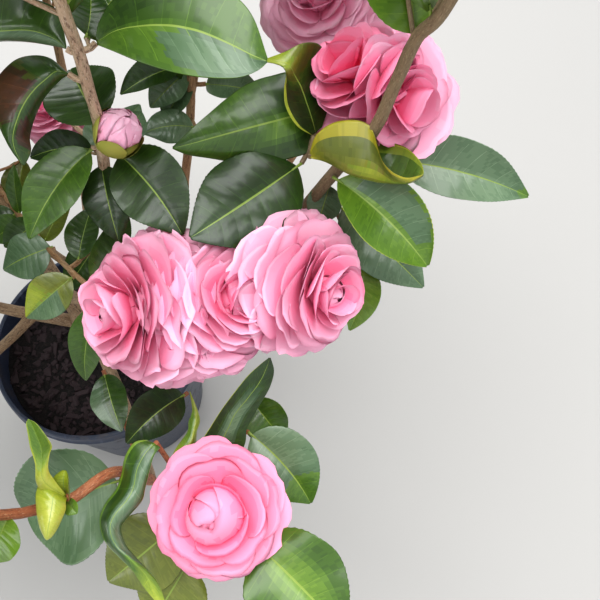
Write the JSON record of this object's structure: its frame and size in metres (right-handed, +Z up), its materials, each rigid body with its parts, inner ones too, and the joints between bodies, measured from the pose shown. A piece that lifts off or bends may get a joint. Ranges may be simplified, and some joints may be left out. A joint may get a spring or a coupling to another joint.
{
  "type": "potted camellia shrub",
  "caption": "Camellia shrub in full bloom in a round plastic nursery pot: low-forked stem, ascending boughs, glossy leaves and double pink blooms.",
  "frame": {"origin": "middle of the pot's flat underside", "axes": "+Z up; +X to the picture's right; +Y away from the picture's viewer"},
  "size_m": [0.7201, 0.6524, 0.8275],
  "materials": {
    "pot": "satin moulded plastic, blue-black",
    "soil": "moist bark-based potting mix",
    "bark": "tan bark, fissured low down and reddish where young",
    "foliage": "glossy green leaves with pink blooms and buds"
  },
  "bodies": {
    "root": {"nursery_pot": "pot", "potting_soil": "soil", "trunk": "bark", "bough_centre": "bark", "bough_right": "bark", "bough_tall_left": "bark", "bough_front": "bark", "bough_left": "bark", "bough_back": "bark", "bough_back_right": "bark", "bough_back_left": "bark", "bough_front_left": "bark", "bough_far_right": "bark", "foliage_centre": "foliage", "foliage_right": "foliage", "foliage_tall_left": "foliage", "foliage_front": "foliage", "foliage_left": "foliage", "foliage_back": "foliage", "foliage_back_right": "foliage", "foliage_back_left": "foliage", "foliage_front_left": "foliage", "foliage_far_right": "foliage"}
  },
  "joints": []
}
